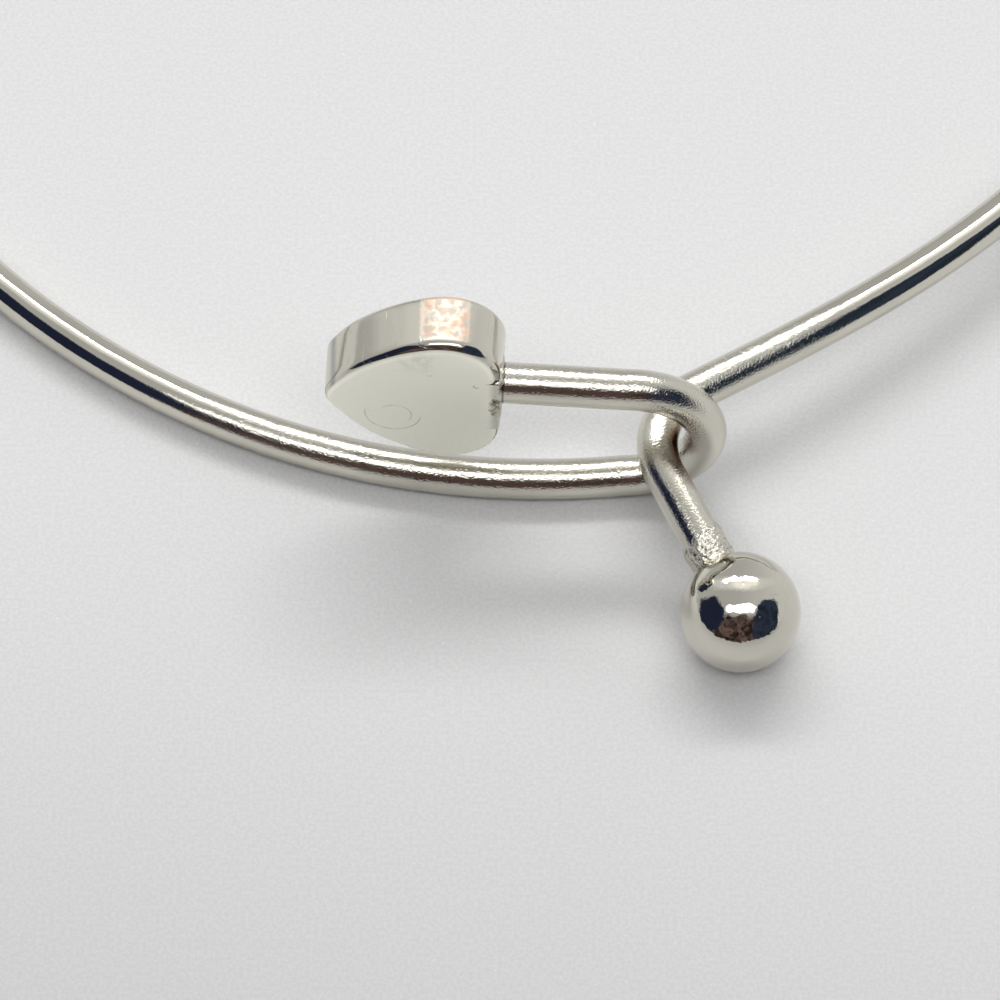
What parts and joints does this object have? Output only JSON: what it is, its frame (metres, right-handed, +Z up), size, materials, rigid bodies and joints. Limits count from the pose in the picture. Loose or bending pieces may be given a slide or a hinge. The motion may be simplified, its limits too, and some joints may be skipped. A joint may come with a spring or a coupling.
{
  "type": "charm bangle",
  "caption": "Round-wire bangle that hooks closed: the wire folds into an upright loop ending in a flat heart, and the hook passing through it ends in a ball.",
  "frame": {"origin": "middle of the ring, on the table that the bangle lies on", "axes": "+Z up from the table along the wrist's axis; -Y towards the closure, heart and ball; +X towards the raised side of the wire"},
  "size_m": [0.0686, 0.0808, 0.0124],
  "materials": {
    "plated_wire": "bright silver-coloured plate over drawn wire, with a fine orange-peel grain that breaks the highlights",
    "plated_ball": "mirror-polished silver-coloured plate with fine scratches and a few small pits",
    "plated_heart": "satin silver-coloured plate with soft casting waves round the rim and faint curved scratches on the face",
    "solder": "plated solder, lumpy and slightly dull, with bright specks"
  },
  "bodies": {
    "root": {"bangle": "plated_wire"}
  },
  "joints": []
}
